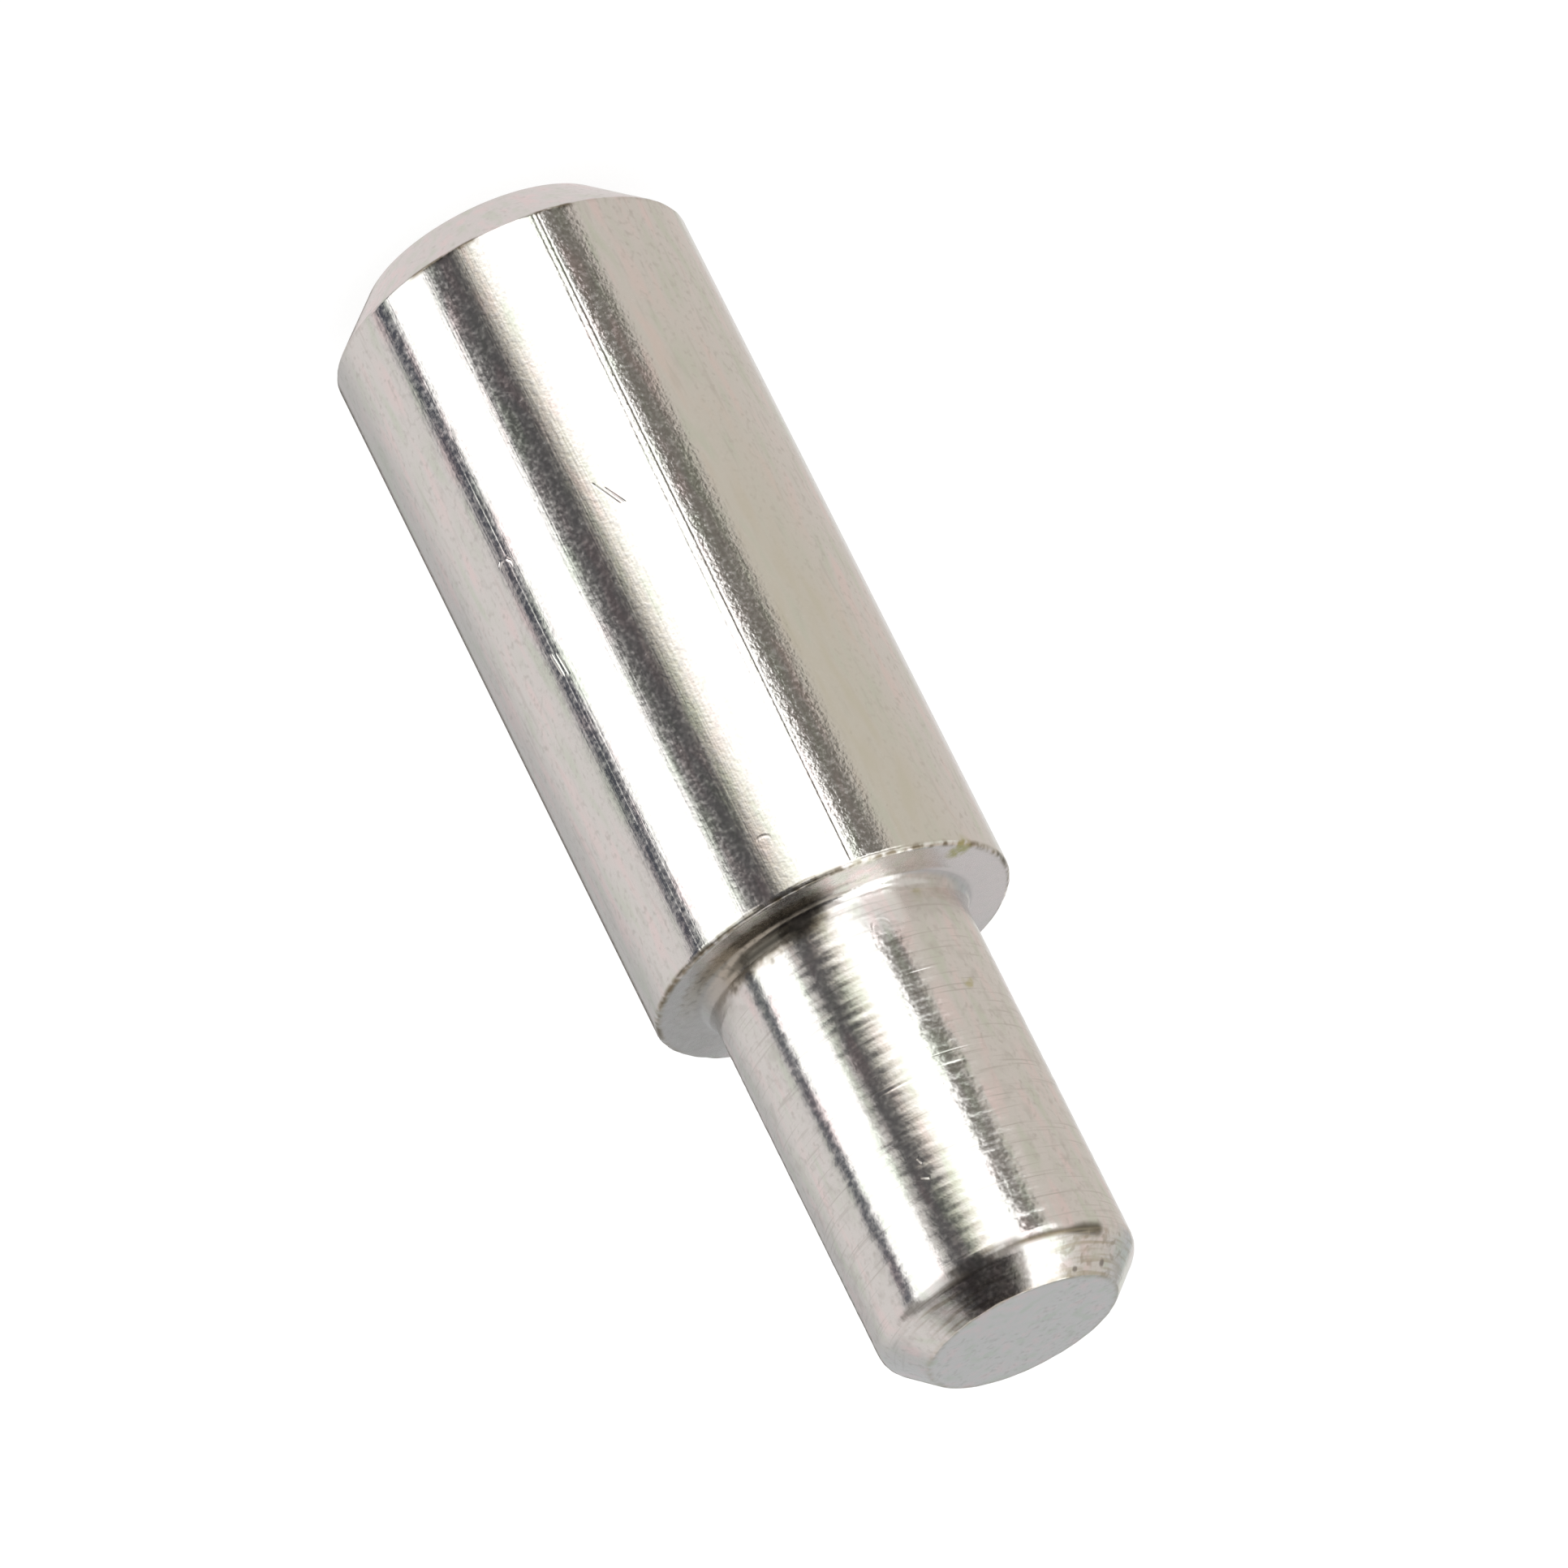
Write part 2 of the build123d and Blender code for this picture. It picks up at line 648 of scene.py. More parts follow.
class Stretch(Enum):
    """Stretches round the pin: where each sets in, is full, begins to fade and ends, from left to right.

    Angles are in degrees from the side that the camera faces, positive to the picture's right.
    """

    BETWEEN_LIMBS = (-42.0, -34.0, 34.0, 42.0)
    OLIVE_SIDE = (24.0, 34.0, 42.0, 66.0)
    LEFT_FACE = (-150.0, -110.0, -60.0, -20.0)
    RIGHT_FACE = (20.0, 60.0, 110.0, 150.0)
    SHADED_ROOT = (-95.0, -50.0, -4.0, 12.0)
    ROOT_CORNER_SHADE = (-42.0, -34.0, -15.0, -10.0)
    ROOT_CROSSING = (-18.0, -11.0, 2.0, 7.0)
    UNSHADED_FOOT = (-54.0, -49.0, 33.0, 38.0)
    POLISHED_ROOT = (7.0, 11.0, 33.0, 37.0)
    MIDDLE_DARK_BAND = (-25.0, -22.0, -2.0, 1.0)
    RIGHT_DARK_BAND = (17.0, 20.0, 30.0, 33.0)
    GROOVE = (4.0, 16.0, 54.0, 60.0)
    DARK_CHAMFER = (-60.0, -30.0, 4.0, 16.0)
    RIGHT_CHAMFER = (20.0, 40.0, 85.0, 100.0)
    FRONT_BAND = (-30.0, -8.0, 13.5, 17.5)
    CHATTER = (12.0, 19.0, 28.0, 36.0)
    RIGHT_PEBBLES = (13.0, 19.0, 29.0, 36.0)
    MIDDLE_PEBBLES = (-15.0, -10.0, -2.0, 3.0)


@dataclass(frozen=True)
class Places:
    """Where a point of the pin lies, as fields that the finish is painted by.

    Lengths are in metres, the angle is measured as a Stretch's are, and the height is above the shoulder.
    """

    graph: NodeGraph
    x: Value
    y: Value
    radius: Value
    angle: Value
    height: Value

    @classmethod
    def read(cls, graph: NodeGraph, shoulder_height: float) -> "Places":
        """Read the point's own coordinates.

        Args:
            graph: The material's graph.
            shoulder_height: Where heights are measured from.

        Returns:
            The point's place.
        """
        x, y, z = graph.split(graph.node("ShaderNodeTexCoord").outputs["Object"])
        radius = (x * x + y * y) ** 0.5
        angle = graph.maths("DEGREES", graph.maths("ARCTAN2", -x, -y))
        return cls(graph, x, y, radius, angle, z - shoulder_height)

    def noise(self, pattern: Pattern) -> Value:
        """Return one of the finish's noises, from -1 to 1."""
        across, along, seed = pattern.value
        return self.graph.noise(self.graph.join(self.x / across, self.y / across, self.height / along), seed)

    def turned_end(self) -> Value:
        """Return 1 on the turned end, from the shoulder up, and 0 on the drawn body."""
        return self.graph.step(self.height, -0.12 * MM, -0.02 * MM)

    def within(self, stretch: Stretch) -> Value:
        """Return 1 in a stretch round the pin and 0 outside it."""
        sets_in, full, fading, end = stretch.value
        return self.graph.step(self.angle, sets_in, full) * self.graph.step(self.angle, end, fading)

    def ring(self, radius: float, height: "Value | float", reach: "Value | float") -> Value:
        """Return a soft ring round the axis.

        Args:
            radius: The radius of its middle.
            height: The height of its middle.
            reach: How far from its middle it fades out.

        Returns:
            1 in its middle and 0 from its reach on.
        """
        out = self.radius - radius
        up = self.height - height
        return self.graph.step((out * out + up * up) ** 0.5, reach, 0.0)

    def spot(self, angle: float, radius: float, height: float, reach: float) -> Value:
        """Return a soft spot at one point of the pin.

        Args:
            angle: The point's angle.
            radius: Its distance from the axis.
            height: Its height.
            reach: How far from it the spot fades out.

        Returns:
            1 at the point and 0 from its reach on.
        """
        turn = math.radians(angle)
        side = self.x + math.sin(turn) * radius
        front = self.y + math.cos(turn) * radius
        up = self.height - height
        return self.graph.step((side * side + front * front + up * up) ** 0.5, reach, reach / 3.0)


class Wall(Enum):
    """The two walls that carry marks."""

    BODY = "body"
    SPIGOT = "spigot"


@dataclass(frozen=True)
class Mark:
    """A scratch, a groove or a curl nick in the skin of a wall, placed by angle and height.

    Angles are in degrees and lengths in metres. A mark with a bend is an arc of a circle; one without is
    straight. A positive depth is a cut.
    """

    name: str
    angle: float
    height: float
    wall: Wall
    length: float
    width: float
    tilt: float = 0.0
    depth: float = 3.0 * MICRON
    bend: float = 0.0

    def cover(self, places: Places, radius: float) -> Value:
        """Return 1 in the middle of the mark and 0 outside it.

        Args:
            places: Where the point lies.
            radius: The radius of the mark's wall.

        Returns:
            The mark's cover.
        """
        graph = places.graph
        around = (places.angle - self.angle) * math.radians(radius)
        up = places.height - self.height
        cosine = math.cos(math.radians(self.tilt))
        sine = math.sin(math.radians(self.tilt))
        along = around * cosine + up * sine
        across = up * cosine - around * sine
        ends = graph.step(abs(along), self.length / 2.0, self.length / 3.0)
        if self.bend:
            ends = ends * graph.step(across, -self.bend, -0.7 * self.bend)
            reach = (along * along + (across + self.bend) * (across + self.bend)) ** 0.5
            across = reach - self.bend
        return graph.step(abs(across), self.width, 0.0) * ends


MARKS = (
    Mark("drawn hairline", 15.9, -7.3 * MM, Wall.BODY, 40.0 * MM, 0.045 * MM, 91.0, 1.7 * MICRON),
    Mark("second hairline", 18.1, -7.3 * MM, Wall.BODY, 40.0 * MM, 0.04 * MM, 90.65, 2.2 * MICRON),
    Mark("drawn line in the slit", -36.7, -5.0 * MM, Wall.BODY, 14.0 * MM, 0.04 * MM, 90.1, 1.0 * MICRON),
    Mark("curl nick", -37.4, -8.55 * MM, Wall.BODY, 0.42 * MM, 0.05 * MM, 205.0, 6.0 * MICRON, 0.2 * MM),
    Mark("loop nick, left", -37.6, -6.25 * MM, Wall.BODY, 0.6 * MM, 0.045 * MM, 84.0, -3.0 * MICRON),
    Mark("loop nick, right", -35.4, -6.2 * MM, Wall.BODY, 0.55 * MM, 0.04 * MM, 84.0, 3.0 * MICRON),
    Mark("long scratch", 0.4, -8.5 * MM, Wall.BODY, 0.75 * MM, 0.028 * MM, 64.0, 6.0 * MICRON),
    Mark("short scratch", 2.6, -8.4 * MM, Wall.BODY, 0.55 * MM, 0.026 * MM, 62.0, 6.0 * MICRON),
    Mark("low curl nick", -3.4, -1.22 * MM, Wall.BODY, 0.3 * MM, 0.05 * MM, 190.0, 2.0 * MICRON, 0.2 * MM),
    Mark("deep ring", 10.0, 3.8 * MM, Wall.SPIGOT, 2.2 * MM, 0.05 * MM, depth=3.0 * MICRON),
    Mark("second ring", 30.0, 3.55 * MM, Wall.SPIGOT, 1.5 * MM, 0.025 * MM, depth=4.0 * MICRON),
    Mark("third ring", 42.0, 1.9 * MM, Wall.SPIGOT, 1.8 * MM, 0.025 * MM, depth=3.0 * MICRON),
    Mark("upper nick", -6.5, 5.24 * MM, Wall.SPIGOT, 0.16 * MM, 0.05 * MM, 70.0, 3.0 * MICRON),
    Mark("lower nick", -7.5, 5.57 * MM, Wall.SPIGOT, 0.2 * MM, 0.05 * MM, 30.0, 3.0 * MICRON),
    Mark("root curl", 23.0, 0.72 * MM, Wall.SPIGOT, 0.42 * MM, 0.05 * MM, 185.0, 4.5 * MICRON, 0.2 * MM),
)


class Coat:
    """The colour of the plate, as one tint after another is laid over it."""

    def __init__(self, graph: NodeGraph, colour: Colour) -> None:
        """Start with the clean plate."""
        self.graph = graph
        self.colour: Linkable = colour

    def lay(self, cover: Value, tint: Colour, share: float = 1.0) -> None:
        """Lay a tint where it covers the plate, at a share of its strength."""
        self.colour = self.graph.blend(cover * share, self.colour, tint)


@dataclass(frozen=True)
class NickelPlate:
    """Bright nickel on steel: near neutral, with faint pink and green patches and tarnish in the corners.

    The drawn body has an orange-peel skin with fine lengthwise lines. The turned surfaces are rougher.
    """

    sizes: PinSizes
    colour: Colour = (0.80, 0.785, 0.765)
    pink: Colour = (0.87, 0.77, 0.76)
    green: Colour = (0.725, 0.76, 0.685)
    olive_side: Colour = (0.73, 0.72, 0.63)
    # Painted shade, laid on the shoulder face's left side and on the foot of the spigot's wall
    painted_shade: Colour = (0.50, 0.48, 0.46)
    # Painted highlight on the shoulder face's right side
    painted_highlight: Colour = (0.95, 0.86, 0.83)
    # A brown used for blotches on the tip's chamfer and as painted shade in the spigot's root and on the
    # chamfer's rings
    tarnish_and_painted_shade: Colour = (0.44, 0.395, 0.325)
    # A brown used for stains on the tip's lip and right-hand chamfer, and as painted dark reflection on the
    # shoulder's rim
    stain_and_painted_shade: Colour = (0.50, 0.45, 0.34)
    olive_stain: Colour = (0.50, 0.47, 0.20)
    speck: Colour = (0.22, 0.20, 0.18)
    # A dark brown used for a stain along the head's edge and as painted shade on the shoulder's rim, the
    # head's edge and behind the tip's chamfer
    edge_stain_and_painted_shade: Colour = (0.20, 0.165, 0.115)
    # Near black, used as painted deep shade in the spigot's root and behind the tip's chamfer
    painted_deep_shade: Colour = (0.085, 0.078, 0.066)
    ring_line: Colour = (0.62, 0.60, 0.57)
    body_roughness: float = 0.12
    spigot_roughness: float = 0.16
    face_roughness: float = 0.26
    grain_roughness: float = 0.17
    worn_roughness: float = 0.22
    root_polish: float = 0.1
    anisotropy: float = 0.5
    anisotropy_turn: float = 0.25
    peel_depth: float = 0.85 * MICRON
    line_depth: float = 0.6 * MICRON
    fine_depth: float = 0.5 * MICRON
    chatter_depth: float = 4.0 * MICRON
    pebble_depth: float = 2.4 * MICRON
    flank_slope: float = 0.04

    def material(self) -> bpy.types.Material:
        """Make the finish.

        Returns:
            The pin's material.
        """
        material = bpy.data.materials.new("nickel_plate")
        material.use_nodes = True
        material.node_tree.nodes.clear()
        graph = NodeGraph(material.node_tree)
        places = Places.read(graph, self.sizes.shoulder_height)
        grain = places.noise(Pattern.GRAIN)
        inputs = {
            "Base Color": self.tints(places),
            "Metallic": 1.0,
            "Roughness": self.roughness(places, grain),
            "Anisotropic": self.anisotropy,
            "Anisotropic Rotation": self.anisotropy_turn,
            "Normal": self.skin(places, grain),
        }
        shader = graph.node("ShaderNodeBsdfPrincipled", inputs=inputs)
        graph.node("ShaderNodeOutputMaterial", inputs={"Surface": shader.outputs[0]})
        return material

    def tints(self, places: Places) -> Linkable:
        """Lay all the tints, in the order in which they cover each other.

        Args:
            places: Where the point lies.

        Returns:
            The plate's colour.
        """
        coat = Coat(places.graph, self.colour)
        drift = places.noise(Pattern.DRIFT)
        cloud = places.noise(Pattern.CLOUD)
        self.lay_plate(coat, places, drift)
        self.lay_tool_lines(coat, places)
        self.lay_faces(coat, places, drift, cloud)
        self.lay_root(coat, places, cloud)
        self.lay_body_edges(coat, places, cloud)
        self.lay_groove(coat, places)
        self.lay_tip(coat, places, cloud)
        self.lay_specks(coat, places, cloud)
        return coat.colour

    def lay_plate(self, coat: Coat, places: Places, drift: Value) -> None:
        """Lay the plating's pink and green patches.

        Args:
            coat: The colour so far.
            places: Where the point lies.
            drift: The noise of the plating's tint.
        """
        graph = places.graph
        coat.lay(graph.step(drift, 0.0, 0.45), self.pink)
        coat.lay(graph.step(drift, 0.0, -0.45), self.green)

    def lay_tool_lines(self, coat: Coat, places: Places) -> None:
        """Lay the drawn body's streaks, the spigot's rings, and the mottle and smudges near the outline.

        Args:
            coat: The colour so far.
            places: Where the point lies.
        """
        graph = places.graph
        spigot = self.sizes.spigot_radius
        turned = places.turned_end()
        wall = turned * graph.step(places.radius, spigot - 0.45 * MM, spigot - 0.2 * MM)
        limbs = 1.0 - places.within(Stretch.BETWEEN_LIMBS)
        streaks = graph.step(places.noise(Pattern.STREAKS), 0.1, 0.6)
        coat.lay(streaks * (1.0 - turned), self.ring_line, share=0.5)
        ring_lines = graph.step(places.noise(Pattern.RING_LINES), 0.12, 0.5)
        coat.lay(ring_lines * wall, self.ring_line, share=0.75)
        mottle = graph.step(places.noise(Pattern.MOTTLE), 0.0, 0.6)
        coat.lay(mottle * limbs, self.ring_line, share=0.75)
        smudges = graph.step(places.noise(Pattern.SMUDGES), 0.05, 0.5)
        coat.lay(smudges * limbs * wall, self.ring_line, share=0.5)

    def lay_faces(self, coat: Coat, places: Places, drift: Value, cloud: Value) -> None:
        """Lay the body's olive side, which is a painted reflection tint, and the painted shade and painted
        highlight on the shoulder face's two sides.

        Args:
            coat: The colour so far.
            places: Where the point lies.
            drift: The noise of the plating's tint.
            cloud: The noise that breaks up stains.
        """
        graph = places.graph
        spigot = self.sizes.spigot_radius
        # Painted reflection tint: an olive cast on one side of the body, placed by the angle from the
        # camera's side
        olive = places.within(Stretch.OLIVE_SIDE) * (1.0 - places.turned_end())
        olive = olive * graph.step(places.height, -14.5 * MM, -5.0 * MM)
        coat.lay(olive * (0.7 + drift), self.olive_side)
        face = graph.step(abs(places.height), 0.06 * MM, 0.02 * MM)
        face = face * graph.step(places.radius, spigot, spigot + 0.2 * MM) * (0.8 + cloud * 0.3)
        # Painted shade on the face's left side and a painted highlight on its right side
        coat.lay(face * places.within(Stretch.LEFT_FACE), self.painted_shade)
        coat.lay(face * places.within(Stretch.RIGHT_FACE), self.painted_highlight)

    def lay_root(self, coat: Coat, places: Places, cloud: Value) -> None:
        """Lay the painted shade in the spigot's root, darkest in its corner, on its shaded side and where the
        middle dark band crosses it, and the painted shade on the foot of its wall.

        Args:
            coat: The colour so far.
            places: Where the point lies.
            cloud: The noise that breaks up stains.
        """
        graph = places.graph
        spigot = self.sizes.spigot_radius
        shaded = places.within(Stretch.SHADED_ROOT)
        root = places.ring(spigot + 0.1 * MM, 0.02 * MM, 0.85 * MM)
        root = graph.step(root + cloud * 0.3, 0.2, 0.7) * places.turned_end()
        # Painted shade in the root, nearly all on its shaded side, with deeper painted shade there in patches
        coat.lay(root * (0.03 + 0.87 * shaded), self.tarnish_and_painted_shade)
        coat.lay(root * shaded * graph.step(cloud, 0.0, 0.45), self.painted_deep_shade, share=0.45)
        # Painted shade deep in the root's corner, on the left
        root_corner_shade = places.ring(spigot + 0.01 * MM, 0.22 * MM, 0.26 * MM) * places.within(Stretch.ROOT_CORNER_SHADE)
        coat.lay(root_corner_shade * graph.step(cloud, -0.9, -0.1), self.painted_deep_shade)
        # Painted shade where the middle dark band crosses the root
        crossing = places.ring(spigot + 0.06 * MM, 0.14 * MM, 0.42 * MM)
        crossing = crossing * places.within(Stretch.ROOT_CROSSING)
        coat.lay(crossing * graph.step(cloud, -1.1, 0.2), self.painted_deep_shade, share=0.72)
        # Painted shade on the foot of the spigot's wall, left out across its front
        foot = graph.step(places.height, 1.15 * MM, 0.3 * MM) * graph.step(places.height, 0.0, 0.02 * MM)
        foot = foot * (1.0 - places.within(Stretch.UNSHADED_FOOT))
        coat.lay(foot * (0.5 + cloud * 0.25), self.painted_shade)

    def lay_body_edges(self, coat: Coat, places: Places, cloud: Value) -> None:
        """Lay the painted dark reflection on the shoulder's rim, the head's edge stain with its painted dark
        bands, and the olive stain on the shoulder.

        Args:
            coat: The colour so far.
            places: Where the point lies.
            cloud: The noise that breaks up stains.
        """
        graph = places.graph
        sizes = self.sizes
        # Painted dark reflection on the shoulder's rim, in broken patches
        coat.lay(self.rim(places, cloud), self.stain_and_painted_shade, share=0.85)
        crumbs = places.noise(Pattern.CRUMBS) * 0.8 + cloud * 0.6
        # Painted dark line along the shoulder's rim
        rim_dark_line = places.ring(sizes.body_radius - 0.03 * MM, -0.03 * MM, 0.1 * MM)
        coat.lay(rim_dark_line * graph.step(crumbs, -0.3, 0.25), self.edge_stain_and_painted_shade)
        # A thin stain along the head's edge, with painted dark reflection where the walls' dark bands meet it
        head_edge = places.ring(sizes.body_radius, sizes.head_chamfer - sizes.shoulder_height, 0.1 * MM)
        dark_bands = places.within(Stretch.MIDDLE_DARK_BAND) + places.within(Stretch.RIGHT_DARK_BAND)
        coat.lay(head_edge * graph.step(crumbs, -0.3, 0.1) * (0.15 + 0.8 * dark_bands), self.edge_stain_and_painted_shade)
        stain = places.spot(58.0, sizes.body_radius - 0.2 * MM, 0.0, 0.34 * MM)
        coat.lay(stain * graph.step(cloud, -0.5, 0.1), self.olive_stain, share=0.9)

    def rim(self, places: Places, cloud: Value) -> Value:
        """Return 1 on the broken patches of the shoulder's rim, which take its painted dark reflection and
        more specks.
        """
        return places.ring(self.sizes.body_radius, 0.0, 0.15 * MM) * places.graph.step(cloud, -0.5, 0.3)

    def lay_groove(self, coat: Coat, places: Places) -> None:
        """Lay the painted shade of a dark groove behind the tip's chamfer, which climbs and widens to the
        right.

        Args:
            coat: The colour so far.
            places: Where the point lies.
        """
        graph = places.graph
        sizes = self.sizes
        rise = places.angle * (0.002 * MM) + (sizes.chamfer_start - 0.06 * MM)
        reach = graph.step(places.angle, 36.0, 48.0) * (0.07 * MM) + 0.11 * MM
        # Painted shade: a dark line behind the chamfer, on the right side only, darkest at its right end
        groove = places.ring(sizes.spigot_radius - 0.05 * MM, rise, reach) * places.within(Stretch.GROOVE)
        coat.lay(groove, self.edge_stain_and_painted_shade)
        coat.lay(groove * graph.step(places.angle, 34.0, 46.0), self.painted_deep_shade, share=0.8)

    def lay_tip(self, coat: Coat, places: Places, cloud: Value) -> None:
        """Lay the chamfer's rings, with painted shade on its left and front and rings and blotches on its
        right, the darker band below the chamfer, and the stain on its lip.

        Args:
            coat: The colour so far.
            places: Where the point lies.
            cloud: The noise that breaks up stains.
        """
        graph = places.graph
        start = self.sizes.chamfer_start
        flat = self.sizes.tip_flat_radius
        right_chamfer = places.within(Stretch.RIGHT_CHAMFER)
        chamfer = graph.step(places.height, start - 0.05 * MM, start + 0.1 * MM)
        chamfer = chamfer * graph.step(places.radius, flat - 0.05 * MM, flat + 0.03 * MM)
        rings = graph.step(places.noise(Pattern.CHAMFER_RINGS), -0.15, 0.35) * chamfer
        # Painted shade on the chamfer's rings on the left and front
        coat.lay(rings * places.within(Stretch.DARK_CHAMFER), self.tarnish_and_painted_shade, share=0.75)
        # Rings and blotches on the chamfer's right side
        coat.lay(rings * right_chamfer, self.stain_and_painted_shade, share=0.6)
        coat.lay(graph.step(cloud, 0.05, 0.4) * chamfer * right_chamfer, self.tarnish_and_painted_shade, share=0.6)
        # A darker band just below the chamfer's start, across the front
        front_dark_band = graph.step(places.height, start - 0.22 * MM, start - 0.08 * MM)
        front_dark_band = front_dark_band * graph.step(places.radius, flat - 0.01 * MM, flat + 0.05 * MM)
        front_dark_band = front_dark_band * graph.step(cloud, -1.2, 0.1) * places.within(Stretch.FRONT_BAND)
        coat.lay(front_dark_band, self.speck, share=0.72)
        lip = places.ring(flat, self.sizes.spigot_length, 0.12 * MM)
        coat.lay(lip * graph.step(cloud, -0.6, 0.4), self.stain_and_painted_shade, share=0.6)

    def lay_specks(self, coat: Coat, places: Places, cloud: Value) -> None:
        """Lay the chamfer's two dark specks, the spigot's green spot and the pepper of fine specks.

        Args:
            coat: The colour so far.
            places: Where the point lies.
            cloud: The noise that breaks up stains.
        """
        graph = places.graph
        sizes = self.sizes
        flat = sizes.tip_flat_radius
        right_speck = places.spot(62.0, flat + 0.17 * MM, sizes.spigot_length - 0.17 * MM, 0.1 * MM)
        left_speck = places.spot(42.0, flat + 0.11 * MM, sizes.spigot_length - 0.1 * MM, 0.08 * MM)
        coat.lay(graph.maths("MINIMUM", right_speck + left_speck, 1.0), self.speck, share=0.8)
        green_spot = places.spot(50.0, sizes.spigot_radius, 2.29 * MM, 0.2 * MM)
        coat.lay(green_spot * graph.step(cloud, -0.3, 0.3), self.olive_stain, share=0.6)
        shoulder = places.ring(sizes.body_radius - 0.5 * MM, 0.0, 0.6 * MM)
        corners = graph.maths("MAXIMUM", self.rim(places, cloud), shoulder)
        pepper = graph.step(places.noise(Pattern.PEPPER), 0.5, 0.62)
        coat.lay(pepper * (0.12 + 0.6 * corners), self.speck)

    def roughness(self, places: Places, grain: Value) -> Value:
        """Set how rough each surface is, which the grain breaks up.

        Args:
            places: Where the point lies.
            grain: The fine grain of the plating.

        Returns:
            The roughness.
        """
        sizes = self.sizes
        turned = places.turned_end()
        face = places.ring(sizes.body_radius - 0.4 * MM, 0.0, 0.55 * MM)
        level = self.body_roughness + turned * (self.spigot_roughness - self.body_roughness)
        level = level + face * turned * (self.face_roughness - self.spigot_roughness)
        worn = places.spot(25.0, sizes.spigot_radius, 0.5 * MM, 0.75 * MM)
        polished = places.ring(sizes.spigot_radius + 0.1 * MM, 0.1 * MM, 0.3 * MM)
        polished = polished * places.within(Stretch.POLISHED_ROOT)
        level = level + worn * (1.0 - polished) * self.worn_roughness - polished * self.root_polish
        grainy = places.graph.step(grain, -0.35, 0.75) * (1.0 - turned * 0.35)
        return level + grainy * self.grain_roughness

    def skin(self, places: Places, grain: Value) -> bpy.types.NodeSocket:
        """Raise the orange peel, the drawn lines, the fine rings, the chatter, the pebbles and the marks.

        Args:
            places: Where the point lies.
            grain: The fine grain of the plating.

        Returns:
            The bumped normal.
        """
        graph = places.graph
        turned = places.turned_end()
        drawn = 1.0 - turned
        depth = grain * self.peel_depth + places.noise(Pattern.DRAWN_LINES) * drawn * self.line_depth
        depth = depth + places.noise(Pattern.FINE_RINGS) * turned * self.fine_depth
        chatter = places.noise(Pattern.CHATTER) * turned * places.within(Stretch.CHATTER)
        depth = depth + chatter * self.chatter_depth
        pebbled = places.within(Stretch.RIGHT_PEBBLES) + places.within(Stretch.MIDDLE_PEBBLES) * 0.2
        depth = depth + places.noise(Pattern.PEBBLES) * drawn * pebbled * self.pebble_depth
        depth = depth - graph.maths("MAXIMUM", places.height, 0.0) * self.flank_slope
        walls = {Wall.BODY: (drawn, self.sizes.body_radius), Wall.SPIGOT: (turned, self.sizes.spigot_radius)}
        for mark in MARKS:
            own_wall, radius = walls[mark.wall]
            depth = depth - mark.cover(places, radius) * own_wall * mark.depth
        inputs = {"Strength": 1.0, "Distance": 1.0, "Height": depth}
        return graph.node("ShaderNodeBump", inputs=inputs).outputs[0]


@dataclass(frozen=True)
class Edge:
    """An upright edge of a card, which may lean: its azimuth drifts with elevation, but only so far.

    The lean is in degrees of azimuth to each degree of elevation above the level that the pin's walls mirror,
    and fall and rise are the most that the azimuth may drift below and above that level.
    """

    azimuth: float
    blur: float = 2.0
    lean: float = 0.0
    fall: float = 0.0
    rise: float = 0.0

    def at(self, graph: NodeGraph, elevation: Value) -> "Value | float":
        """Follow the edge to an elevation.

        Args:
            graph: The world's graph.
            elevation: The elevation in degrees.

        Returns:
            The edge's azimuth there, in degrees.
        """
        if not self.lean:
            return self.azimuth
        least, most = (-self.fall, self.rise) if self.lean > 0.0 else (-self.rise, self.fall)
        drift = graph.maths("MAXIMUM", (elevation - WALL_REFLECTION) * self.lean, least)
        return graph.maths("MINIMUM", drift, most) + self.azimuth


@dataclass(frozen=True)
class Card:
    """A soft box or a flag of the light tent, as the pin sees it.

    Azimuths are in degrees from the camera's side, positive towards the picture's right, and elevations in
    degrees above the floor. Blurs are the widths of the soft edges.
    """

    name: str
    left: Edge
    right: Edge
    low: float
    high: float
    colour: Colour
    low_blur: float = 6.0
    high_blur: float = 6.0

    def mask(self, graph: NodeGraph, azimuth: Value, elevation: Value) -> Value:
        """Return 1 where the card covers a direction and 0 beside it.

        Args:
            graph: The world's graph.
            azimuth: The direction's azimuth in degrees.
            elevation: The direction's elevation in degrees.

        Returns:
            The card's cover.
        """
        middle = (self.left.azimuth + self.right.azimuth) / 2.0
        turned = graph.maths("WRAP", azimuth - middle, 180.0, -180.0) + middle
        from_left = turned - self.left.at(graph, elevation)
        from_right = self.right.at(graph, elevation) - turned
        cover = graph.step(from_left, -self.left.blur / 2.0, self.left.blur / 2.0)
        cover = cover * graph.step(from_right, -self.right.blur / 2.0, self.right.blur / 2.0)
        low_half = self.low_blur / 2.0
        high_half = self.high_blur / 2.0
        cover = cover * graph.step(elevation, self.low - low_half, self.low + low_half)
        return cover * graph.step(elevation, self.high + high_half, self.high - high_half)


# The elevation that the pin's upright walls mirror to the camera, in degrees
WALL_REFLECTION = -22.3
TAUPE: Colour = (0.17, 0.155, 0.14)
UMBER: Colour = (0.18, 0.165, 0.145)
CHARCOAL: Colour = (0.09, 0.087, 0.09)
BLACK: Colour = (0.045, 0.042, 0.045)
SOFT_BOX: Colour = (1.6, 1.59, 1.57)

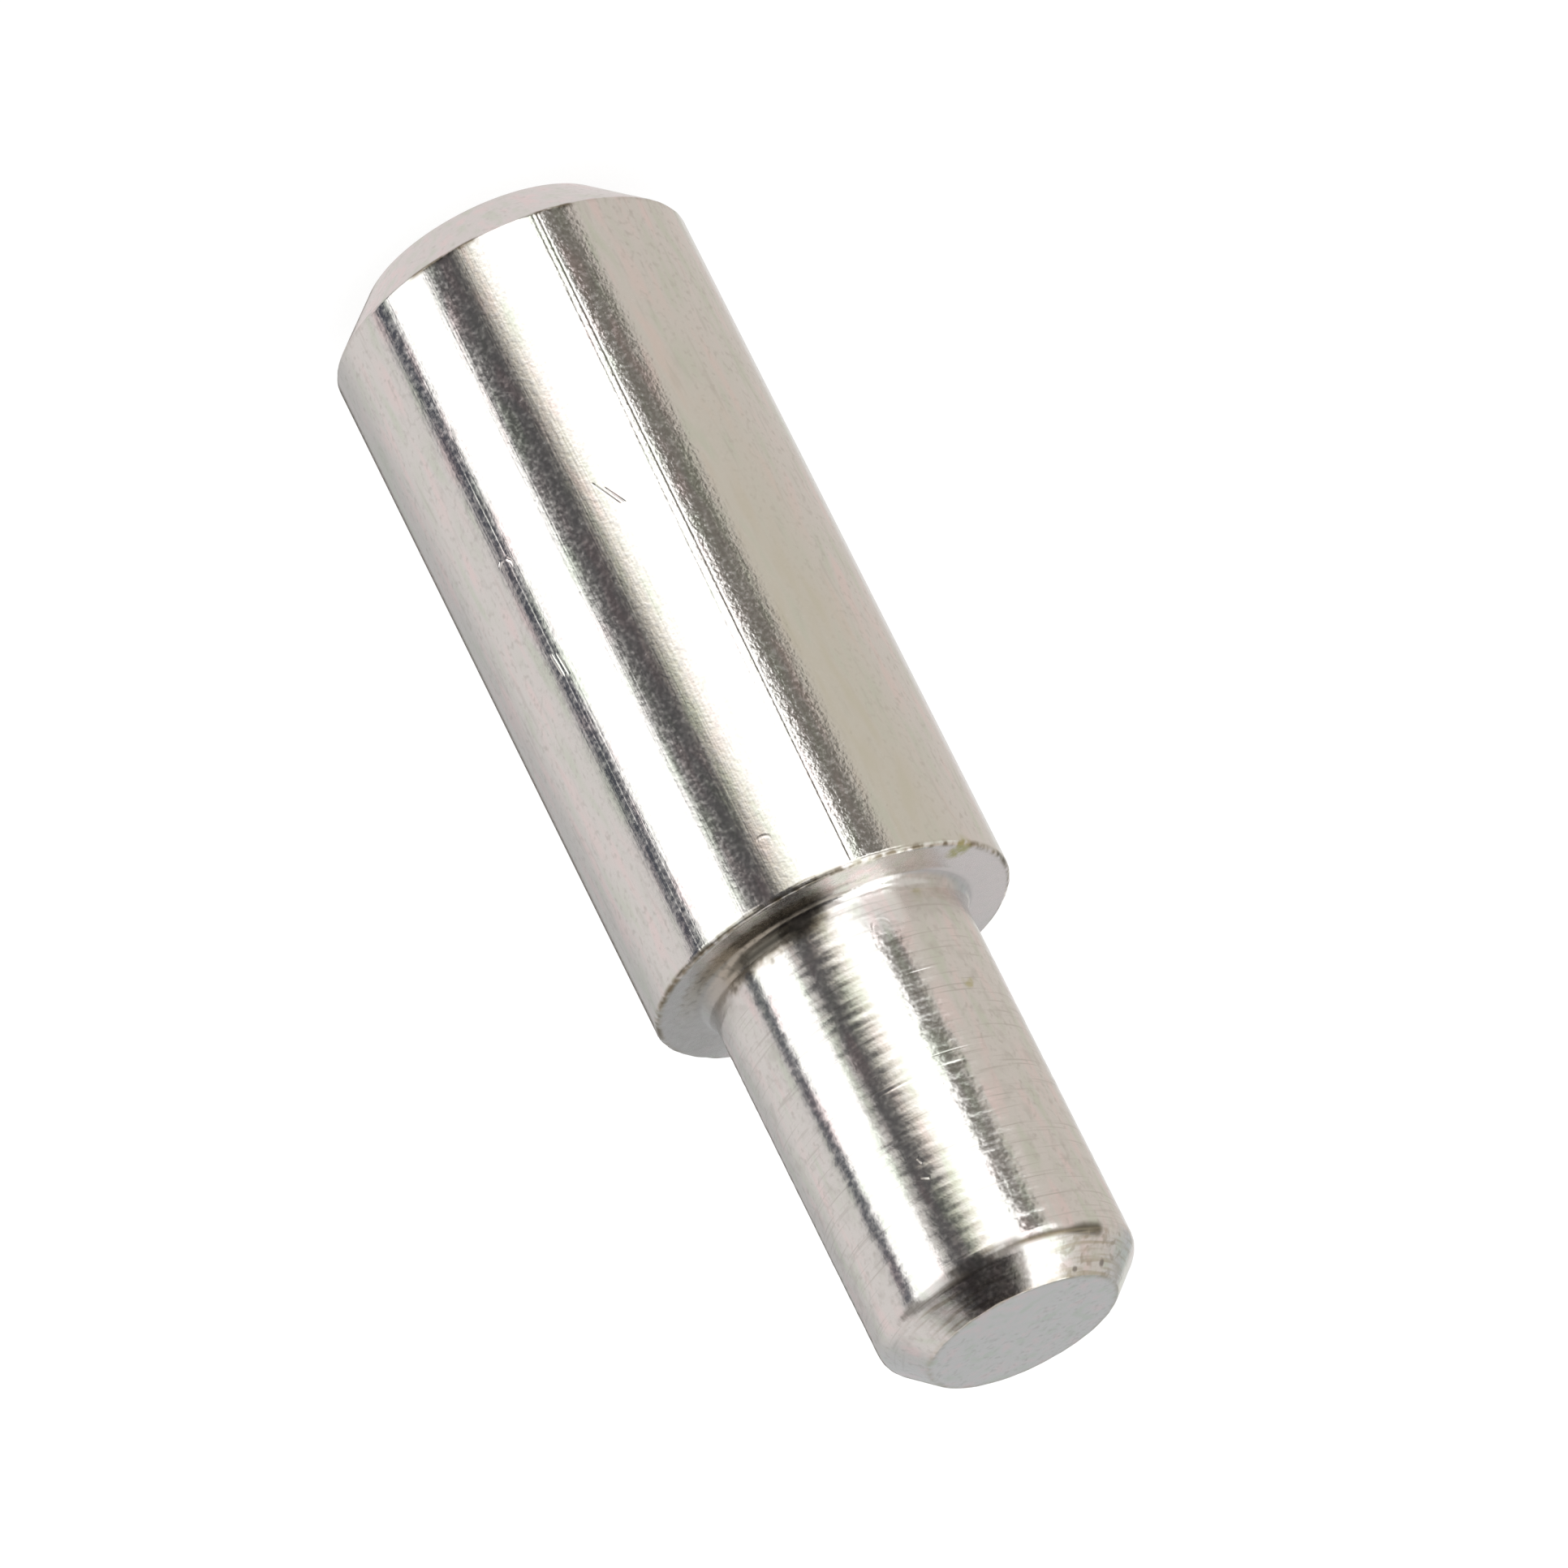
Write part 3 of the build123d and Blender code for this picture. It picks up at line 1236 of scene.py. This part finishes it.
TENT_CARDS = (
    Card("right wall", Edge(50.0, 20.0), Edge(185.0, 60.0), -70.0, 90.0, (0.66, 0.61, 0.56)),
    Card("left wall", Edge(-185.0, 80.0), Edge(-72.0, 2.0), -70.0, 90.0, (0.76, 0.725, 0.71)),
    Card("far left wall", Edge(-185.0, 60.0), Edge(-128.0, 40.0), -70.0, 30.0, (0.52, 0.51, 0.505)),
    Card("back wall", Edge(140.0, 30.0), Edge(220.0, 30.0), -10.0, 60.0, (0.53, 0.54, 0.55)),
    Card("camera side", Edge(-81.0, 16.0), Edge(8.0, 8.0), 2.0, 78.0, TAUPE),
    Card("dusk side", Edge(-97.0, 12.0), Edge(-42.0, 24.0), 10.0, 60.0, (0.32, 0.305, 0.29), low_blur=12.0),
    Card("left soft box", Edge(-69.0, 3.0), Edge(-35.0, 2.0), -65.0, 6.0, SOFT_BOX),
    Card("left top box", Edge(-69.0, 3.0), Edge(-35.0, 2.0), 3.0, 38.0, (1.0, 0.99, 0.97), high_blur=16.0),
    Card("overhead flag", Edge(-75.0, 12.0), Edge(38.0, 14.0), 55.0, 80.0, BLACK, low_blur=14.0),
    Card("pale side", Edge(70.0, 8.0), Edge(106.0, 14.0), 8.0, 62.0, (0.85, 0.82, 0.78)),
    Card("upper soft box", Edge(26.0, 8.0), Edge(76.0, 10.0), 25.0, 61.0, SOFT_BOX, low_blur=8.0),
    Card("top soft box", Edge(46.0, 10.0), Edge(96.0, 14.0), 52.0, 72.0, SOFT_BOX),
    Card("right soft box", Edge(-15.0, 6.0), Edge(38.0, 3.0), -65.0, 20.0, SOFT_BOX, high_blur=14.0),
    Card("left slit", Edge(-81.0, 6.0), Edge(-70.0, 4.0), -70.0, 2.0, (0.06, 0.065, 0.085), high_blur=16.0),
    Card("cream edge", Edge(-20.0), Edge(-2.0, 8.0, 1.5, 14.0, 12.0), -65.0, 12.0, (1.08, 1.01, 0.87)),
    Card(
        "middle flag",
        Edge(-37.0, 2.5, 1.9, 2.0, 11.0),
        Edge(-11.5, 14.0, 1.5, 1.5, 12.0),
        -70.0,
        60.0,
        CHARCOAL,
    ),
    Card("rear soft box", Edge(160.0, 8.0), Edge(179.0, 4.0), -65.0, 4.0, (0.8, 0.78, 0.76)),
    Card("rear flag", Edge(181.0, 4.0), Edge(197.0, 6.0), -70.0, -13.0, TAUPE),
    Card("pale table", Edge(125.0, 20.0), Edge(235.0, 20.0), -95.0, -31.0, (0.76, 0.71, 0.70)),
    Card("streak box", Edge(92.0, 14.0), Edge(169.0, 4.0), 53.5, 72.0, SOFT_BOX, low_blur=3.0),
    Card("right flag", Edge(39.5, 6.0, -0.5, 1.0, 3.0), Edge(58.5, 9.0, -1.0, 1.0, 4.5), -70.0, 8.0, UMBER),
    Card("root soft box", Edge(34.0, 4.0), Edge(64.0, 6.0), -8.5, 6.0, SOFT_BOX, 3.0, 5.0),
)


@dataclass(frozen=True)
class LightTent:
    """The plain studio round the pin: white to the camera and on the floor, and cards in the metal."""

    cloth: Colour = (0.72, 0.69, 0.66)
    cards: tuple[Card, ...] = TENT_CARDS

    def build(self) -> bpy.types.World:
        """Make the world and hang it in the scene.

        Returns:
            The world.
        """
        world = bpy.data.worlds.new("light_tent")
        world.use_nodes = True
        world.node_tree.nodes.clear()
        world.cycles.sampling_method = "NONE"
        bpy.context.scene.world = world
        graph = NodeGraph(world.node_tree)
        x, y, z = graph.split(graph.node("ShaderNodeTexCoord").outputs["Generated"])
        azimuth = graph.maths("DEGREES", graph.maths("ARCTAN2", -x, -y))
        elevation = graph.maths("DEGREES", graph.maths("ARCSINE", z))
        colour: Linkable = self.cloth
        for card in self.cards:
            colour = graph.blend(card.mask(graph, azimuth, elevation), colour, card.colour)
        cards = graph.node("ShaderNodeBackground", inputs={"Color": colour, "Strength": 1.0})
        white = graph.node("ShaderNodeBackground", inputs={"Color": (1.0, 1.0, 1.0, 1.0), "Strength": 1.0})
        seen_in_metal = graph.node("ShaderNodeLightPath").outputs["Is Glossy Ray"]
        inputs = {0: seen_in_metal, 1: white.outputs[0], 2: cards.outputs[0]}
        shader = graph.node("ShaderNodeMixShader", inputs=inputs)
        graph.node("ShaderNodeOutputWorld", inputs={"Surface": shader.outputs[0]})
        return world


@dataclass(frozen=True)
class StudioFloor:
    """A plain pale floor, which takes the pin's soft shadow."""

    radius: float = 4.0
    albedo: float = 0.24
    glow: float = 0.84

    def build(self) -> bpy.types.Object:
        """Lay the floor.

        Returns:
            The floor, which isn't part of the object.
        """
        corners = [(-self.radius, -self.radius, 0.0), (self.radius, -self.radius, 0.0)]
        corners += [(self.radius, self.radius, 0.0), (-self.radius, self.radius, 0.0)]
        mesh = bpy.data.meshes.new("studio_floor")
        mesh.from_pydata(corners, [], [(0, 1, 2, 3)])
        mesh.materials.append(self.material())
        floor = bpy.data.objects.new("studio_floor", mesh)
        bpy.context.scene.collection.objects.link(floor)
        floor.visible_glossy = False
        return floor

    def material(self) -> bpy.types.Material:
        """Make the floor's paper, which is white to the camera where nothing shades it.

        Returns:
            The paper.
        """
        material = bpy.data.materials.new("floor_paper")
        material.use_nodes = True
        material.node_tree.nodes.clear()
        graph = NodeGraph(material.node_tree)
        seen = graph.value(graph.node("ShaderNodeLightPath").outputs["Is Camera Ray"])
        inputs = {
            "Base Color": opaque((self.albedo, self.albedo, self.albedo)),
            "Roughness": 1.0,
            "Specular IOR Level": 0.0,
            "Emission Color": opaque((1.0, 1.0, 1.0)),
            "Emission Strength": seen * self.glow,
        }
        shader = graph.node("ShaderNodeBsdfPrincipled", inputs=inputs)
        graph.node("ShaderNodeOutputMaterial", inputs={"Surface": shader.outputs[0]})
        return material


@dataclass(frozen=True)
class PictureCamera:
    """A long lens that looks down on the spigot's end, rolled so that the spigot points down and right."""

    focal_pixels: float = 20804.0
    distance: float = 302.7 * MM
    elevation: float = math.radians(22.256)
    roll: float = math.radians(153.43)
    shoulder_offset: tuple[float, float] = (62.2, 208.1)
    sensor: float = 36.0
    far_clip: float = 50.0

    def build(self, target: Vector) -> bpy.types.Object:
        """Set up the camera.

        Args:
            target: The centre of the pin's shoulder, which shoulder_offset places in the picture, in pixels
                right of and below its centre.

        Returns:
            The scene's camera.
        """
        data = bpy.data.cameras.new("picture_camera")
        data.sensor_width = self.sensor
        data.lens = self.focal_pixels / PHOTO_SIDE * self.sensor
        data.clip_start = self.distance / 4.0
        data.clip_end = self.far_clip
        back = Vector((0.0, -math.cos(self.elevation), math.sin(self.elevation)))
        upright = Vector((0.0, math.sin(self.elevation), math.cos(self.elevation)))
        level = Vector((1.0, 0.0, 0.0))
        right = level * math.cos(self.roll) + upright * math.sin(self.roll)
        up = upright * math.cos(self.roll) - level * math.sin(self.roll)
        turn = Matrix((right, up, back)).transposed()
        across, below = self.shoulder_offset
        scale = self.distance / self.focal_pixels
        seen_at = Vector((across * scale, -below * scale, -self.distance))
        camera = bpy.data.objects.new("picture_camera", data)
        camera.matrix_world = Matrix.Translation(target - turn @ seen_at) @ turn.to_4x4()
        bpy.context.scene.collection.objects.link(camera)
        bpy.context.scene.camera = camera
        return camera


def main() -> None:
    """Load the frame, dress the pin and set the stage."""
    logging.basicConfig(level=logging.INFO, format="%(name)s: %(message)s")
    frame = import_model()
    bpy.context.scene.view_settings.view_transform = "Standard"
    sizes = PinSizes.from_frame(frame)

    pin = TurnedPin(sizes).build(NickelPlate(sizes).material())
    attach(pin, "root")
    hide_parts("shelf_pin")
    LOG.info("turned pin: %d faces", len(pin.data.polygons))

    StudioFloor().build()
    LightTent().build()
    PictureCamera().build(Vector((0.0, 0.0, sizes.shoulder_height)))
    LOG.info("stage: floor, light tent and camera")


if __name__ == "__main__":
    main()
